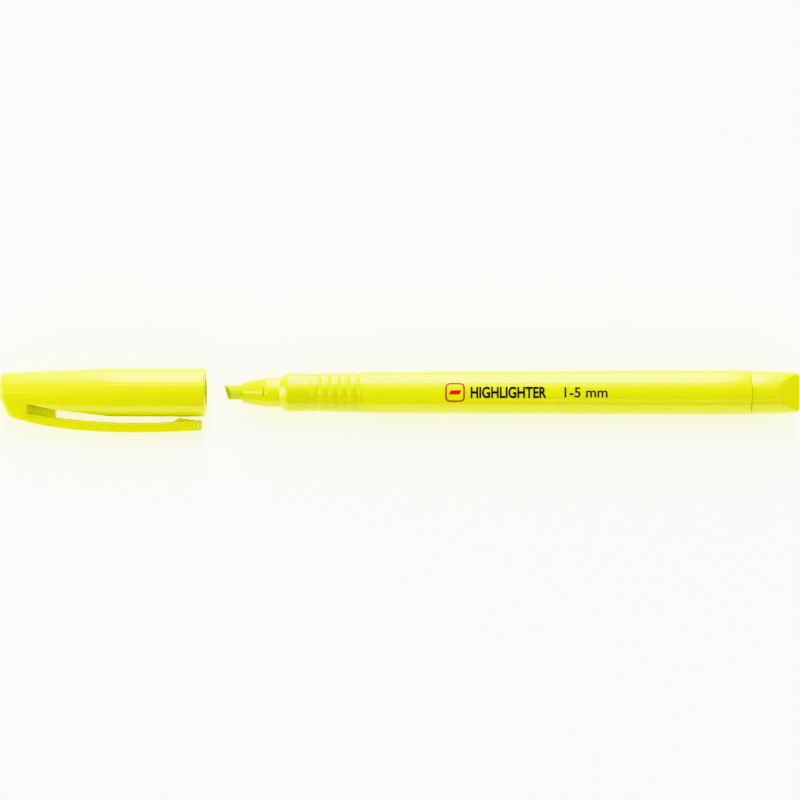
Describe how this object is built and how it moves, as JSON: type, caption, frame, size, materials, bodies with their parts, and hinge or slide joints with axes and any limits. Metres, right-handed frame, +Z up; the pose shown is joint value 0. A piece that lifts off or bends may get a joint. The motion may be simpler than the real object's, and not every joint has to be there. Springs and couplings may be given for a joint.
{
  "type": "highlighter",
  "caption": "Slim pen-shaped highlighter with a chisel nib, ribbed grip and a clip cap pulled off and lying in line with it.",
  "frame": {"origin": "middle of the footprint, on the surface that the cap and clip lie on", "axes": "+X along the pen from the cap's closed end to the end plug; +Z up; the clip points towards -Y and down to the surface"},
  "size_m": [0.1756, 0.0142, 0.0107],
  "materials": {
    "cap_plastic": "glossy moulded polypropylene",
    "liner_plastic": "natural moulded polyethylene",
    "nib_fibre": "sintered fibre soaked with ink",
    "nose_plastic": "glossy moulded polypropylene",
    "grip_plastic": "satin moulded, ribbed",
    "barrel_plastic": "glossy moulded polypropylene with a one-colour print",
    "reservoir_fibre": "bonded fibre soaked with ink",
    "sleeve_film": "thin clear film",
    "plug_plastic": "glossy moulded polypropylene"
  },
  "bodies": {
    "pen": {"barrel": "barrel_plastic", "grip_section": "grip_plastic", "nib_holder": "nose_plastic", "nib": "nib_fibre", "reservoir": "reservoir_fibre", "reservoir_sleeve": "sleeve_film", "end_plug": "plug_plastic"},
    "cap": {"cap_shell": "cap_plastic", "inner_cap": "liner_plastic"},
    "clip": {"clip": "cap_plastic"}
  },
  "joints": [
    {"name": "cap_slide", "type": "slide", "parent": "pen", "child": "cap", "axis": [1, 0, 0], "range_m": [0, 0.0347]},
    {"name": "clip_flex", "type": "hinge", "parent": "cap", "child": "clip", "pos_m": [-0.07452, -0.00447, 0.00271], "axis": [0, 0.389, -0.9212], "range_deg": [0, 4.5], "stiffness_Nm_per_rad": 0.9}
  ]
}
